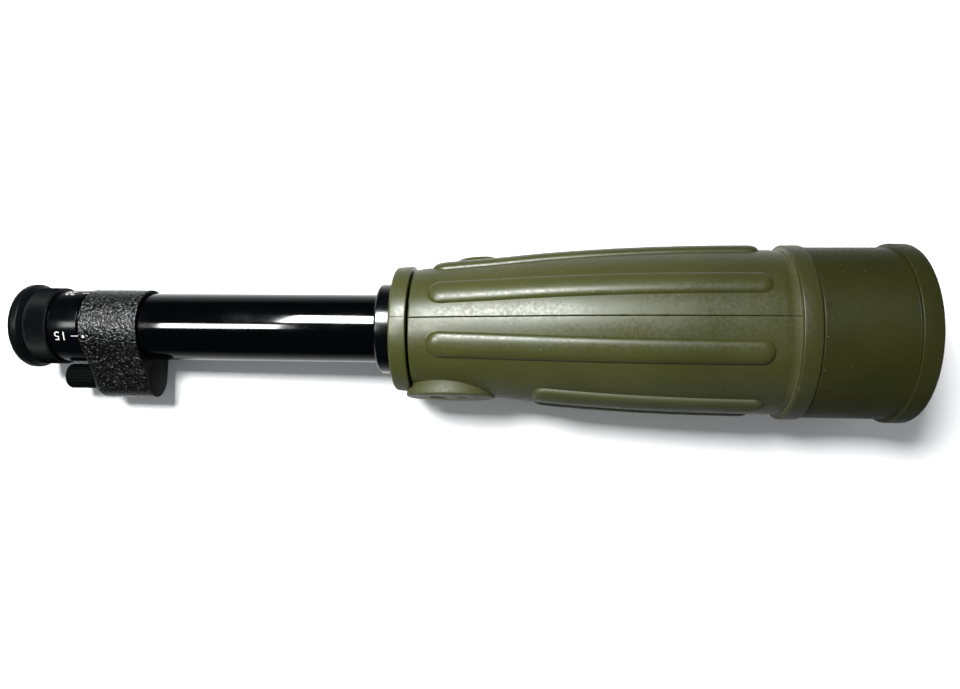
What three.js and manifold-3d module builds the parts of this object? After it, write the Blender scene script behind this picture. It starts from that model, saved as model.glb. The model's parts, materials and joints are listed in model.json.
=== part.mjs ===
// Straight zoom spotting scope with a 60 mm objective, in rubber armour, as an assembly of separate pieces.
//
// Frame: millimetres, +X along the optical axis towards the objective, +Z up when the scope stands on a
// tripod. The origin is on the optical axis at half the length. Inside the file every x is measured from
// the tripod thread, and the whole group is moved at the end.
//
// How it works: the ring behind the bracket turns the eyepiece and a cam tube, whose two helical slots push
// the erector lens cells along straight slots in a guide tube. The small knob turns a lead screw, whose nut
// slides the whole guide tube to focus. The sunshade slides on the objective end of the barrel.

import * as THREE from "three";
import { mergeVertices } from "three/addons/utils/BufferGeometryUtils.js";
import Module from "manifold-3d";

const wasm = await Module();
wasm.setup();

// ---- Driving dimensions ---------------------------------------------------------------------------------

const RUN = 0.1; // radial clearance of a piece that turns or slides in another
const GAP = 0.3; // gap between fixed neighbours

// The armoured body swells from its rear end to its mouth along a power curve.
const BODY = { rear: -11.1, front: 173.5, swellEnd: 154, swellLength: 161, swell: 11, power: 2.25 };
BODY.mouthRadius = 39.9;
BODY.rubber = 3;
BODY.band = { rear: 163, radius: 42.4 };
const RIB = { rear: -3, shortRear: 46.6, front: 154, width: 11.6, height: 2.4 };
const RIB_ELEVATIONS = [23.5, 69.5, 110.5, 156.5]; // the same angles repeat below the seam
const SWELL_STATIONS = [RIB.shortRear, 100, RIB.front];
const SEAM = 0.35; // width of the joint between the two armour halves

const BARREL = { rear: -11.8, front: 218, wall: 2, rubberGap: 0.2, noseRadius: 35, noseBore: 33 };
BARREL.nose = BODY.front + GAP;
const FOOT = { face: -34.5, centre: 7.3, halfLength: 21.3, halfWidth: 16.5, rubber: 2 }; // an oval plan
FOOT.block = { rear: -7, front: 21.5, halfWidth: 10 };
FOOT.threadRadius = 3.2;
FOOT.pin = { x: 12, radius: 2.4 };
FOOT.screw = { x: 6, y: 6.5 };
const PAD = { x: 19.5, halfLength: 9, halfWidth: 6.5, top: 36.3 };

const HOOD = { rear: 174.2, front: 224.5, radius: 41.4, bore: 36.2, wall: 1.4 };
HOOD.lip = { rear: 213.7, radius: 43.2 };
HOOD.guide = { front: 184.2, bore: BARREL.noseRadius + 3 * RUN };
const END_RING = { rear: -20.6, front: -12.6, radius: 30.6, bore: 27.4 };
const CAP = { rear: -20.2, front: -12.2, radius: 27.2, neckFront: 8, neckRadius: 22.7 };
const COLLAR = { rear: -30, front: -20.5, radius: 22.5, noseRadius: 19.8, noseFront: -14.3 };

const TUBE = { rear: -194, front: 14, radius: 17.25, bore: 15.75, shoulder: -181.2, tailRadius: 16.4 };
const BRACKET = { rear: -180.8, front: -150.4, radius: 18.95 };
const POD = { clock: 21, offset: 26.9, radius: 10.7, bore: 6.6, rearWall: 4.6 };
const KNOB = { rear: -199.5, front: -181.3, radius: 6, flutes: 12, fluteDepth: 0.35, grub: -184 };
const SCREW_RADIUS = 2.5;

// Focusing travel each way from rest, and the zoom turn with the lead of each helical slot.
const FOCUS_TRAVEL = 3;
const ZOOM_TURN = 288;
const LEAD = { front: 20, rear: -15 };

const GUIDE = { rear: -176, front: -60, radius: 15.6, bore: 14.4 };
const CAM = { rear: -178, front: -64, radius: 14.15, bore: 12.9 };
const PIN_RADIUS = 1.3;
const SLOT_HALF_WIDTH = 1.5;
const ERECTORS = {
  front: { x: -96, clock: 90, lead: LEAD.front },
  rear: { x: -118, clock: 180, lead: LEAD.rear },
};
const CELL = { halfLength: 7, radius: 12.6, seat: 10.7, bore: 9.2 };

const RING = { rear: -212, front: -181.4, radius: 18.4, bore: TUBE.tailRadius + 0.15 };
const GRIP = { rear: -209, front: -196.8, radius: 19.8, teeth: 36, depth: 0.3 };
const EYECUP = { rear: -216, radius: 21.1, opening: 14, skirtFront: -209.3 };
const OCULAR = { front: -172, shoulder: -195, noseRadius: 12.6, bore: 10.8, seat: 13 };
const STOP_SCREW = { x: -188, radius: 1 };

const LENS_RADIUS = 31;
const LENS_CURVE = { front: 150, inner: 110, rear: 600 };
const CELL_SHOULDER = 195.8;

const COARSE = 10; // segments round small pieces
const MEDIUM = 16;
const FINE = 20;
const MOUTH = 24;
const OUTER = 32; // segments round the large shells

// ---- Finishes -------------------------------------------------------------------------------------------

const finish = (color, roughness, metalness) =>
  new THREE.MeshStandardMaterial({ color, roughness, metalness });
const olive = finish(0x4c5028, 0.55, 0);
const glossBlack = finish(0x08090b, 0.12, 0);
const satinBlack = finish(0x14151a, 0.38, 0.6);
const wrinkleBlack = finish(0x232423, 0.6, 0.1);
const blackRubber = finish(0x16191a, 0.7, 0);
const blackMetal = finish(0x0c0c0d, 0.7, 0.5);
const steel = finish(0x9a9c9f, 0.3, 1);
const brass = finish(0xb58e45, 0.35, 1);
const felt = finish(0x1a1a1a, 0.95, 0);
const glass = finish(0xcfe3e8, 0.03, 0);

// ---- Solids ---------------------------------------------------------------------------------------------

// A closed mesh as a manifold-3d solid, for cutting and joining.
function solid(geometry) {
  const bare = geometry.clone();
  bare.deleteAttribute("normal");
  bare.deleteAttribute("uv");
  const merged = mergeVertices(bare, 1e-4);
  const index = merged.index.array;
  const kept = [];
  for (let i = 0; i < index.length; i += 3) {
    const [a, b, c] = index.slice(i, i + 3);
    if (a !== b && b !== c && c !== a) kept.push(a, b, c);
  }
  const mesh = { numProp: 3, vertProperties: merged.attributes.position.array };
  return new wasm.Manifold(new wasm.Mesh({ ...mesh, triVerts: new Uint32Array(kept) }));
}

function geometryOf(manifold) {
  const { vertProperties, triVerts } = manifold.getMesh();
  const geometry = new THREE.BufferGeometry();
  geometry.setAttribute("position", new THREE.BufferAttribute(vertProperties, 3));
  geometry.setIndex(new THREE.BufferAttribute(triVerts, 1));
  geometry.computeVertexNormals();
  return geometry;
}

const join = (first, ...others) =>
  geometryOf(others.reduce((sum, other) => sum.add(solid(other)), solid(first)));
const cut = (first, ...tools) =>
  geometryOf(tools.reduce((rest, tool) => rest.subtract(solid(tool)), solid(first)));
const common = (first, second) => geometryOf(solid(first).intersect(solid(second)));

// A solid of revolution about +X. Points are [x, radius], and the outline closes itself.
function turned(outline, segments = FINE) {
  const onAxis = outline[0][1] === 0 && outline.at(-1)[1] === 0;
  const loop = onAxis ? [...outline] : [...outline, outline[0]];
  let area = 0;
  outline.forEach(([x, r], i) => {
    const [nextX, nextR] = outline[(i + 1) % outline.length];
    area += x * nextR - nextX * r;
  });
  if (area > 0) loop.reverse();
  const points = loop.map(([x, r]) => new THREE.Vector2(r, x));
  return new THREE.LatheGeometry(points, segments).rotateZ(-Math.PI / 2);
}

// A plain tube or ring about +X.
const ring = (rear, front, bore, radius, segments = FINE) =>
  turned([[rear, bore], [front, bore], [front, radius], [rear, radius]], segments);

// A rod or disc about +X.
const rod = (rear, front, radius, segments = COARSE) =>
  turned([[rear, 0], [rear, radius], [front, radius], [front, 0]], segments);

// A rod along local Z, from low to high, at x and y.
function post(x, y, low, high, radius, segments = COARSE) {
  const cylinder = new THREE.CylinderGeometry(radius, radius, high - low, segments);
  return cylinder.rotateX(Math.PI / 2).translate(x, y, (low + high) / 2);
}

const block = (x0, x1, y0, y1, z0, z1) =>
  new THREE.BoxGeometry(x1 - x0, y1 - y0, z1 - z0).translate((x0 + x1) / 2, (y0 + y1) / 2, (z0 + z1) / 2);

const prism = (shape, depth, curveSegments) =>
  new THREE.ExtrudeGeometry(shape, { depth, curveSegments, bevelEnabled: false });

// An outline drawn in the YZ plane and drawn out along +X.
const yzToX = new THREE.Matrix4().makeBasis(
  new THREE.Vector3(0, 1, 0),
  new THREE.Vector3(0, 0, 1),
  new THREE.Vector3(1, 0, 0),
);
const prismAlongX = (shape, rear, front, curveSegments) =>
  prism(shape, front - rear, curveSegments).applyMatrix4(yzToX).translate(rear, 0, 0);

const radians = THREE.MathUtils.degToRad;

// Turns geometry made at the top (+Z) to an elevation: 0 faces -Y, 90 faces +Z.
const atElevation = (geometry, elevation) => geometry.rotateX(radians(90 - elevation));

// Turns geometry made along +Z to a clock angle about +X: 0 is +Y and 90 is +Z.
const atClock = (geometry, clock) => geometry.rotateX(radians(clock - 90));

// A band of rectangular section wound about +X: it starts at a clock angle and climbs lead per turn.
function helicalBand(x, halfWidth, bore, radius, lead, fromClock, toClock) {
  const steps = Math.ceil(Math.abs(toClock - fromClock) / 18);
  const corners = [[-halfWidth, bore], [halfWidth, bore], [halfWidth, radius], [-halfWidth, radius]];
  const positions = [];
  const index = [];
  for (let i = 0; i <= steps; i += 1) {
    const clock = fromClock + ((toClock - fromClock) * i) / steps;
    const centre = x + (lead * (clock - fromClock)) / 360;
    for (const [dx, r] of corners) {
      positions.push(centre + dx, r * Math.cos(radians(clock)), r * Math.sin(radians(clock)));
    }
  }
  for (let i = 0; i < steps; i += 1) {
    for (let side = 0; side < 4; side += 1) {
      const a = 4 * i + side;
      const b = 4 * i + ((side + 1) % 4);
      index.push(a, b, b + 4, a, b + 4, a + 4);
    }
  }
  const last = 4 * steps;
  index.push(0, 2, 1, 0, 3, 2, last, last + 1, last + 2, last, last + 2, last + 3);
  if (toClock < fromClock) index.reverse();
  const band = new THREE.BufferGeometry();
  band.setAttribute("position", new THREE.Float32BufferAttribute(positions, 3));
  return band.setIndex(index);
}

// A lens on the axis. A positive curve bulges outwards, and a negative one is hollow.
function lens(rear, front, rearCurve, frontCurve, radius, segments = MEDIUM, steps = 2) {
  const sag = (curve, r) => Math.sign(curve) * (Math.abs(curve) - Math.sqrt(curve ** 2 - r ** 2));
  const radii = Array.from({ length: steps + 1 }, (_, i) => (radius * i) / steps);
  const rearFace = radii.map((r) => [rear + sag(rearCurve, r), r]);
  const frontFace = radii.map((r) => [front - sag(frontCurve, r), r]).reverse();
  return turned([...rearFace, ...frontFace], segments);
}

// An O-ring or bead of round section.
function oRing(x, radius, section, segments = MEDIUM) {
  const sides = 5;
  const point = (_, i) => {
    const angle = (2 * Math.PI * i) / sides;
    return [x + section * Math.cos(angle), radius + section * Math.sin(angle)];
  };
  return turned(Array.from({ length: sides }, point), segments);
}

// ---- Armoured body --------------------------------------------------------------------------------------

function bodyRadius(x) {
  const back = Math.max(0, (BODY.swellEnd - x) / BODY.swellLength);
  return BODY.mouthRadius - BODY.swell * back ** BODY.power;
}

// Points along the swelling curve, offset outwards. Every shell breaks at the same stations.
function swellPoints(from, to, offset) {
  const between = SWELL_STATIONS.filter((x) => x > from && x < to);
  return [from, ...between, to].map((x) => [x, bodyRadius(x) + offset]);
}

function rib(rear, elevation) {
  const end = RIB.width / 2;
  const outline = new THREE.Shape();
  outline.absarc(RIB.front - end, 0, end, -Math.PI / 2, Math.PI / 2);
  outline.absarc(rear + end, 0, end, Math.PI / 2, (3 * Math.PI) / 2);
  return atElevation(prism(outline, 30, 3).translate(0, 0, 20), elevation);
}

// The oval foot. Its heel reaches back under the rear cap's ring.
function foot() {
  const plan = new THREE.Shape();
  plan.absellipse(FOOT.centre, 0, FOOT.halfLength, FOOT.halfWidth, 0, 2 * Math.PI);
  const ringSpace = rod(-30, BODY.rear, END_RING.radius + GAP, OUTER);
  return cut(prism(plan, 18, 14).translate(0, 0, FOOT.face), ringSpace);
}

function footBlockSpace(margin) {
  const { rear, front, halfWidth } = FOOT.block;
  const width = halfWidth + margin;
  return block(rear - margin, front + margin, -width, width, FOOT.face + FOOT.rubber - margin, -15);
}

function armour() {
  const { rear, front, band, rubber } = BODY;
  const shell = turned([
    ...swellPoints(rear, band.rear, 0),
    [band.rear, band.radius],
    [front, band.radius],
    [front, 20],
    [rear, 20],
  ], OUTER);
  const ribEnvelope = turned([
    ...swellPoints(RIB.rear, RIB.front, RIB.height),
    [RIB.front, 20],
    [RIB.rear, 20],
  ], OUTER);
  const upperRibs = RIB_ELEVATIONS.map((elevation) => rib(RIB.rear, elevation));
  const lowerRibs = RIB_ELEVATIONS.map((elevation) => {
    const besideFoot = elevation > 45 && elevation < 135;
    return rib(besideFoot ? RIB.shortRear : RIB.rear, -elevation);
  });
  const ribs = [...upperRibs, ...lowerRibs].map((bar) => common(bar, ribEnvelope));
  const pad = new THREE.CylinderGeometry(1, 1, PAD.top - 25, 16)
    .rotateX(Math.PI / 2)
    .scale(PAD.halfLength, PAD.halfWidth, 1)
    .translate(PAD.x, 0, (PAD.top + 25) / 2);
  const cavity = turned([
    ...swellPoints(rear - 1, front + 1, -rubber),
    [front + 1, 0],
    [rear - 1, 0],
  ].reverse(), OUTER);
  const below = FOOT.face - 1;
  return cut(
    join(shell, ...ribs, foot(), pad),
    cavity,
    footBlockSpace(GAP),
    post(0, 0, below, -20, 4.2, 24),
    post(FOOT.pin.x, 0, below, -20, 2.7, 24),
  );
}

const wholeArmour = armour();
const half = (low, high) => common(wholeArmour, block(-30, 190, -60, 60, low, high));

function mainBarrel() {
  const { rear, front, wall, rubberGap, noseRadius, noseBore, nose } = BARREL;
  const outside = -(BODY.rubber + rubberGap);
  const threadFront = 10;
  const groove = { rear: 215.2, front: 217.3, radius: noseRadius - 0.9 };
  const shell = turned([
    ...swellPoints(rear, nose, outside),
    [nose, noseRadius],
    [groove.rear, noseRadius],
    [groove.rear, groove.radius],
    [groove.front, groove.radius],
    [groove.front, noseRadius],
    [front, noseRadius],
    [front, noseBore],
    [nose - 3, noseBore],
    ...swellPoints(threadFront, RIB.front, outside - wall).reverse(),
    [threadFront, CAP.neckRadius + GAP],
    [rear, CAP.neckRadius + GAP],
  ], OUTER);
  const { x, y } = FOOT.screw;
  return cut(shell, post(x, y, -36, -15, 1.4), post(x, -y, -36, -15, 1.4));
}

function tripodFootBlock() {
  const barrelSpace = turned([
    ...swellPoints(-20, 40, GAP - BODY.rubber - BARREL.rubberGap),
    [40, 0],
    [-20, 0],
  ].reverse(), OUTER);
  const { x, y } = FOOT.screw;
  const face = FOOT.face + FOOT.rubber;
  const tools = [-y, y].flatMap((side) => [
    post(x, side, face - 1, face + 2.2, 2.8),
    post(x, side, face - 1, -15, 1.45),
  ]);
  return cut(
    footBlockSpace(0),
    barrelSpace,
    post(0, 0, face - 1, -15, 4.95, 24),
    post(FOOT.pin.x, 0, face - 1, face + 4.5, FOOT.pin.radius, 24),
    ...tools,
  );
}

function threadInsert() {
  const low = FOOT.face + FOOT.rubber + 0.1;
  return cut(post(0, 0, low, -27.6, 4.8, 24), post(0, 0, low - 1, -20, FOOT.threadRadius, 24));
}

function footScrew(side) {
  const { x, y } = FOOT.screw;
  const head = FOOT.face + FOOT.rubber + 0.3;
  const screw = join(post(x, side * y, head, head + 1.7, 2.5), post(x, side * y, head + 1, -23.5, 1.25));
  return cut(screw, block(x - 2, x + 2, side * y - 0.3, side * y + 0.3, head - 1, head + 0.7));
}

// A thin blackened stop inside the barrel.
function baffle(x, aperture) {
  const radius = bodyRadius(x) - BODY.rubber - BARREL.rubberGap - BARREL.wall - 3 * GAP;
  return ring(x, x + 1.5, aperture, radius, MOUTH);
}

// ---- Objective ------------------------------------------------------------------------------------------

const objectiveFront = { edge: 203.1, spacer: 1 };

function objectiveCell() {
  const [rear, front, seal] = [188, 212, 192];
  const radius = BARREL.noseBore - 0.3;
  const seat = LENS_RADIUS + 0.3;
  return turned([[rear, 28.5], [CELL_SHOULDER, 28.5], [CELL_SHOULDER, seat], [front, seat],
    [front, radius], [seal + 1.3, radius], [seal + 1.3, radius - 1.8], [seal - 1.3, radius - 1.8],
    [seal - 1.3, radius], [rear, radius]], MOUTH);
}

function frontLens() {
  const sag = (curve) => curve - Math.sqrt(curve ** 2 - LENS_RADIUS ** 2);
  const rearEdge = objectiveFront.edge + objectiveFront.spacer;
  const frontEdge = rearEdge + 2.5;
  const rear = rearEdge - sag(LENS_CURVE.inner);
  const front = frontEdge + sag(LENS_CURVE.front);
  return lens(rear, front, LENS_CURVE.inner, LENS_CURVE.front, LENS_RADIUS, MOUTH, 3);
}

function rearLens() {
  const sag = (curve) => curve - Math.sqrt(curve ** 2 - LENS_RADIUS ** 2);
  const rear = CELL_SHOULDER + 0.2 - sag(LENS_CURVE.rear);
  const front = objectiveFront.edge - sag(LENS_CURVE.inner);
  return lens(rear, front, LENS_CURVE.rear, -LENS_CURVE.inner, LENS_RADIUS, MOUTH, 3);
}

// A threaded ring with two spanner slots in its front face.
function slottedRing(rear, front, bore, radius, segments = FINE) {
  const slot = block(front - 0.8, front + 1, -0.8, 0.8, -radius - 1, radius + 1);
  return cut(ring(rear, front, bore, radius, segments), slot);
}

// ---- Sunshade -------------------------------------------------------------------------------------------

function sunshadeTube() {
  const { rear, front, bore, wall, guide } = HOOD;
  const felt = { rear: rear + 2, front: rear + 8, radius: bore + 0.2 };
  return turned([[rear, guide.bore], [felt.rear, guide.bore], [felt.rear, felt.radius],
    [felt.front, felt.radius], [felt.front, guide.bore], [guide.front, guide.bore],
    [guide.front, bore], [front - 1, bore], [front - 1, bore + wall], [rear, bore + wall]], OUTER);
}

function feltRing() {
  const { rear, bore } = HOOD;
  return ring(rear + 2.2, rear + 7.8, BARREL.noseRadius + 0.15, bore + 0.05, OUTER);
}

function sunshadeSleeve() {
  const { rear, front, radius, bore, wall, lip } = HOOD;
  const inside = bore + wall + 0.2;
  const round = 2.4;
  const nose = [0, 45, 90].map((angle) => [
    front - round + round * Math.sin(radians(angle)),
    lip.radius - round + round * Math.cos(radians(angle)),
  ]);
  return turned([[rear, inside], [rear, radius], [lip.rear, radius], [lip.rear, lip.radius], ...nose,
    [front, bore + 0.2], [front - 0.7, bore + 0.2], [front - 0.7, inside]], OUTER);
}

// ---- Rear cap, collar and tube --------------------------------------------------------------------------

function rearCap() {
  const { rear, front, radius, neckFront, neckRadius } = CAP;
  const bore = TUBE.radius + 0.15;
  const seal = -11.3;
  return turned([[rear, 20], [seal, 20], [seal, bore], [neckFront, bore], [neckFront, neckRadius],
    [front, neckRadius], [front, radius], [rear, radius]], OUTER);
}

function lockCollar() {
  const { rear, front, radius, noseRadius, noseFront } = COLLAR;
  const bore = TUBE.radius + 0.15;
  const chamfer = 0.8;
  return turned([[rear, bore], [noseFront, bore], [noseFront, noseRadius], [front, noseRadius],
    [front, radius], [rear + chamfer, radius], [rear, radius - chamfer]], OUTER);
}

function endRingArmour() {
  const { rear, front, radius, bore } = END_RING;
  const edge = 1.2;
  return turned([[rear, bore], [front, bore], [front, radius], [rear + edge, radius],
    [rear, radius - edge]], OUTER);
}

// The slot that the nut's arm slides in, at the bottom of the tube.
const armSlot = () => block(-172.2, -159.8, -2.7, 2.7, -20, -14);

function rearTube() {
  const { rear, front, radius, bore, shoulder, tailRadius } = TUBE;
  const tube = turned([[rear, bore], [front, bore], [front, radius], [shoulder, radius],
    [shoulder, tailRadius], [rear, tailRadius]], OUTER);
  return cut(tube, armSlot(), post(STOP_SCREW.x, 0, 12, 18, STOP_SCREW.radius + 0.1));
}

const tubeStop = () => ring(TUBE.front - 3, TUBE.front, 11, TUBE.bore - 0.25);

// ---- Focusing: bracket, knob, lead screw and nut --------------------------------------------------------

// Everything here stands with the pod straight below the tube; the group turns it to its clock angle.
function bracketOutline(shrink = 0) {
  const big = BRACKET.radius - shrink;
  const small = POD.radius - shrink;
  const tangent = Math.acos((big - small) / POD.offset);
  const down = -Math.PI / 2;
  const outline = new THREE.Shape();
  outline.absarc(0, 0, big, down + tangent, down - tangent + 2 * Math.PI);
  outline.absarc(0, -POD.offset, small, down - tangent, down + tangent);
  return outline;
}

function focusBracket() {
  const { rear, front } = BRACKET;
  const atPod = (geometry) => geometry.translate(0, 0, -POD.offset);
  const window = block(-175, -157, -3.6, 3.6, -22, -12);
  const grubs = [rear + 5, front - 5].map((x) => post(x, 0, 14, 24, 1.6));
  return cut(
    prismAlongX(bracketOutline(), rear, front, 10),
    rod(rear - 1, front + 1, TUBE.radius + 0.15, OUTER),
    atPod(rod(rear + POD.rearWall, front + 1, POD.bore, MEDIUM)),
    atPod(rod(rear - 1, rear + POD.rearWall + 1, 4.5, MEDIUM)),
    atPod(rod(front - 1.4, front + 1, POD.radius - 1.6, MEDIUM)),
    window,
    ...grubs.map((hole) => atElevation(hole, 90)),
  );
}

const podEndCap = () => rod(BRACKET.front - 1.2, BRACKET.front, POD.radius - 1.8, MEDIUM);
const shaftBushRear = () => ring(BRACKET.rear + 0.2, -176.4, SCREW_RADIUS + 0.12, 4.3, MEDIUM);
const shaftBushFront = () => ring(-155.6, BRACKET.front - 1.6, 2.1, POD.bore - 0.2, MEDIUM);

function grubScrew(x) {
  const screw = post(x, 0, 17.7, 18.8, 1.45, 12);
  return cut(screw, post(x, 0, 18.2, 20, 0.6, 6));
}

function focusKnob() {
  const { rear, front, radius, flutes, fluteDepth } = KNOB;
  const round = 2;
  const end = [0, 45, 90].map((angle) => [
    rear + round - round * Math.cos(radians(angle)),
    radius - round + round * Math.sin(radians(angle)),
  ]);
  const body = turned([[rear, 0], ...end, [front, radius], [front, 0]], 24);
  const tools = Array.from({ length: flutes }, (_, i) => {
    const flute = block(rear - 1, front - 2.5, -0.45, 0.45, radius - fluteDepth, radius + 1);
    return flute.rotateX((2 * Math.PI * i) / flutes);
  });
  const shaftHole = rod(-190, front + 1, SCREW_RADIUS + 0.1);
  return cut(body, shaftHole, post(KNOB.grub, 0, 1, radius + 1, 1, 8), ...tools);
}

// A plain rod at the thread's outside size, with a journal for the front bush.
const leadScrew = () =>
  turned([[-189.6, 0], [-189.6, SCREW_RADIUS], [-156, SCREW_RADIUS], [-156, 2],
    [BRACKET.front - 2, 2], [BRACKET.front - 2, 0]], COARSE);

const knobGrub = () => post(KNOB.grub, 0, SCREW_RADIUS + 0.1, KNOB.radius - 1, 0.85, 8);

function focusNut() {
  const { offset } = POD;
  const body = rod(-170, -162, 6.3, MEDIUM);
  const arm = block(-168.5, -163.5, -2.2, 2.2, 3, offset - GUIDE.radius - 0.2);
  return cut(
    join(body, arm),
    rod(-180, -150, SCREW_RADIUS + 0.2),
    post(-166, 0, 8, offset - 10, 1.3, 12),
  ).translate(0, 0, -offset);
}

const linkPin = () => post(-166, 0, -18.5, -GUIDE.bore - 0.1, 1.15, 12);

// ---- Zoom: guide tube, cam tube and erector cells -------------------------------------------------------

const EASE = 18; // degrees of slot past the pin at each end of its travel

function guideTube() {
  const { rear, front, radius, bore } = GUIDE;
  const slots = Object.values(ERECTORS).map(({ x, clock, lead }) => {
    const end = x + (lead * ZOOM_TURN) / 360;
    const [low, high] = [Math.min(x, end) - 2, Math.max(x, end) + 2];
    return atClock(block(low, high, -SLOT_HALF_WIDTH, SLOT_HALF_WIDTH, 10, 18), clock);
  });
  return cut(ring(rear, front, bore, radius), post(-166, 0, -18, -12, 1.3, 12), ...slots);
}

function camTube() {
  const { rear, front, radius, bore } = CAM;
  const slots = Object.values(ERECTORS).map(({ x, clock, lead }) => {
    const start = x - (lead * EASE) / 360;
    const to = clock - ZOOM_TURN - EASE;
    return helicalBand(start, SLOT_HALF_WIDTH + 0.05, 11, 16, -lead, clock + EASE, to);
  });
  const keyway = block(rear - 1, rear + 12, -1.7, 1.7, 10, 16);
  return cut(ring(rear, front, bore, radius), keyway, ...slots);
}

const camRetainer = () => slottedRing(CAM.front + 0.3, GUIDE.front, 12, GUIDE.bore - 0.2);

function erectorCell({ x, clock }) {
  const { halfLength, radius, seat, bore } = CELL;
  const shell = turned([[x - halfLength, bore], [x - 3, bore], [x - 3, seat], [x + halfLength, seat],
    [x + halfLength, radius], [x - halfLength, radius]]);
  return cut(shell, atClock(post(x, 0, 11.6, 14, PIN_RADIUS + 0.1, 12), clock));
}

const erectorLens = ({ x }) => lens(x - 3.8, x + 3.2, 40, 48, CELL.seat - 0.2);
const erectorRing = ({ x }) => slottedRing(x + 2.6, x + 5, 8.8, CELL.seat - 0.2, MEDIUM);
const guidePin = ({ x, clock }) => atClock(post(x, 0, 11.8, 15.2, PIN_RADIUS, 12), clock);

// ---- Zoom ring and eyepiece, which turn together --------------------------------------------------------

function zoomScaleRing() {
  const { rear, front, radius, bore } = RING;
  const groove = { x: STOP_SCREW.x, depth: bore + 0.95 };
  const track = helicalBand(groove.x, 1.3, bore - 1, groove.depth, 0, 86 - ZOOM_TURN, 94);
  return cut(ring(rear, front, bore, radius, OUTER), track);
}

// The knurl is a ring of fine straight ribs.
function gripRing() {
  const { rear, front, radius, teeth, depth } = GRIP;
  const outline = new THREE.Shape();
  const corner = (i) => {
    const r = i % 2 ? radius - depth : radius;
    const angle = (Math.PI * i) / teeth;
    return [r * Math.cos(angle), r * Math.sin(angle)];
  };
  outline.moveTo(...corner(0));
  for (let i = 1; i < 2 * teeth; i += 1) outline.lineTo(...corner(i));
  return cut(prismAlongX(outline, rear, front, 1), rod(rear - 1, front + 1, RING.radius + 0.1, OUTER));
}

function eyecup() {
  const { rear, radius, opening, skirtFront } = EYECUP;
  const round = 2;
  const rim = [0, 45, 90].map((angle) => [
    rear + round - round * Math.cos(radians(angle)),
    radius - round + round * Math.sin(radians(angle)),
  ]);
  const skirt = RING.radius + 0.1;
  return turned([[rear, opening], ...rim, [-211, radius], [skirtFront, radius - 1.2], [skirtFront, skirt],
    [RING.rear - 0.2, skirt], [RING.rear - 0.2, opening]], OUTER);
}

function eyepieceBarrel() {
  const { front, shoulder, noseRadius, bore, seat } = OCULAR;
  const radius = RING.bore - 0.1;
  return turned([[RING.rear, seat], [-203.4, seat], [-203.4, bore], [-182.2, bore], [-182.2, 11.5],
    [front, 11.5], [front, noseRadius], [shoulder, noseRadius], [shoulder, radius], [RING.rear, radius]]);
}

const eyeLens = () => lens(-209.6, -203.2, 60, 26, OCULAR.seat - 0.2);
const fieldLens = () => lens(-183, -178, 60, 40, 11.3);
const fieldStop = () => ring(-174.6, -173.4, 7.5, 11.3, MEDIUM);
const thrustWasher = () => ring(-194.8, -194.2, TUBE.bore, TUBE.tailRadius, FINE);
const driveKey = () => block(-175, -171.5, -1.5, 1.5, OCULAR.noseRadius + 0.05, 14);
const stopScrew = () => post(STOP_SCREW.x, 0, TUBE.bore + 0.1, 17.15, STOP_SCREW.radius, 12);

// ---- Assembly -------------------------------------------------------------------------------------------

function group(parent) {
  const made = new THREE.Group();
  parent.add(made);
  return made;
}

function add(parent, name, geometry, material) {
  const mesh = new THREE.Mesh(geometry, material);
  mesh.name = name;
  parent.add(mesh);
}

const scope = new THREE.Group();
scope.position.x = -(EYECUP.rear + HOOD.front) / 2;

const body = group(scope);
add(body, "main_barrel", mainBarrel(), blackMetal);
add(body, "body_armour_upper", half(SEAM / 2, 60), olive);
add(body, "body_armour_lower", half(-60, -SEAM / 2), olive);
add(body, "tripod_foot_block", tripodFootBlock(), blackMetal);
add(body, "tripod_thread_insert", threadInsert(), steel);
add(body, "foot_screw_left", footScrew(-1), steel);
add(body, "foot_screw_right", footScrew(1), steel);
add(body, "rear_baffle", baffle(60, 21), blackMetal);
add(body, "front_baffle", baffle(120, 27), blackMetal);
add(body, "rear_cap", rearCap(), blackMetal);
add(body, "rear_cap_armour_ring", endRingArmour(), olive);
add(body, "rear_cap_seal", oRing(10, 20.1, 1.1), blackRubber);
add(body, "tube_lock_collar", lockCollar(), satinBlack);
add(body, "tube_seal", oRing(-12.8, 18.75, 1.1), blackRubber);

add(body, "objective_cell", objectiveCell(), blackMetal);
add(body, "objective_rear_lens", rearLens(), glass);
add(body, "objective_spacer_ring", ring(203.2, 203.5, 29.8, LENS_RADIUS, MOUTH), blackMetal);
add(body, "objective_front_lens", frontLens(), glass);
add(body, "objective_retaining_ring", slottedRing(207.4, 209.8, 29, LENS_RADIUS, MOUTH), blackMetal);
add(body, "objective_dress_ring", ring(212.3, 214, 29.4, 32.7, MOUTH), blackMetal);
add(body, "objective_seal", oRing(192, 32, 0.75, MOUTH), blackRubber);
add(body, "sunshade_stop_ring", ring(215.5, 217.1, 34.3, 36, OUTER), steel);

const sunshade = group(scope);
add(sunshade, "sunshade_tube", sunshadeTube(), blackMetal);
add(sunshade, "sunshade_rubber_sleeve", sunshadeSleeve(), olive);
add(sunshade, "sunshade_felt_ring", feltRing(), felt);

const rear = group(scope);
rear.rotation.x = radians(POD.clock);
add(rear, "rear_tube", rearTube(), glossBlack);
add(rear, "rear_tube_light_stop", tubeStop(), blackMetal);
add(rear, "focus_bracket", focusBracket(), wrinkleBlack);
add(rear, "bracket_grub_screw_rear", grubScrew(BRACKET.rear + 5), steel);
add(rear, "bracket_grub_screw_front", grubScrew(BRACKET.front - 5), steel);
add(rear, "zoom_stop_screw", stopScrew(), steel);
add(rear, "zoom_thrust_washer", thrustWasher(), brass);

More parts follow.
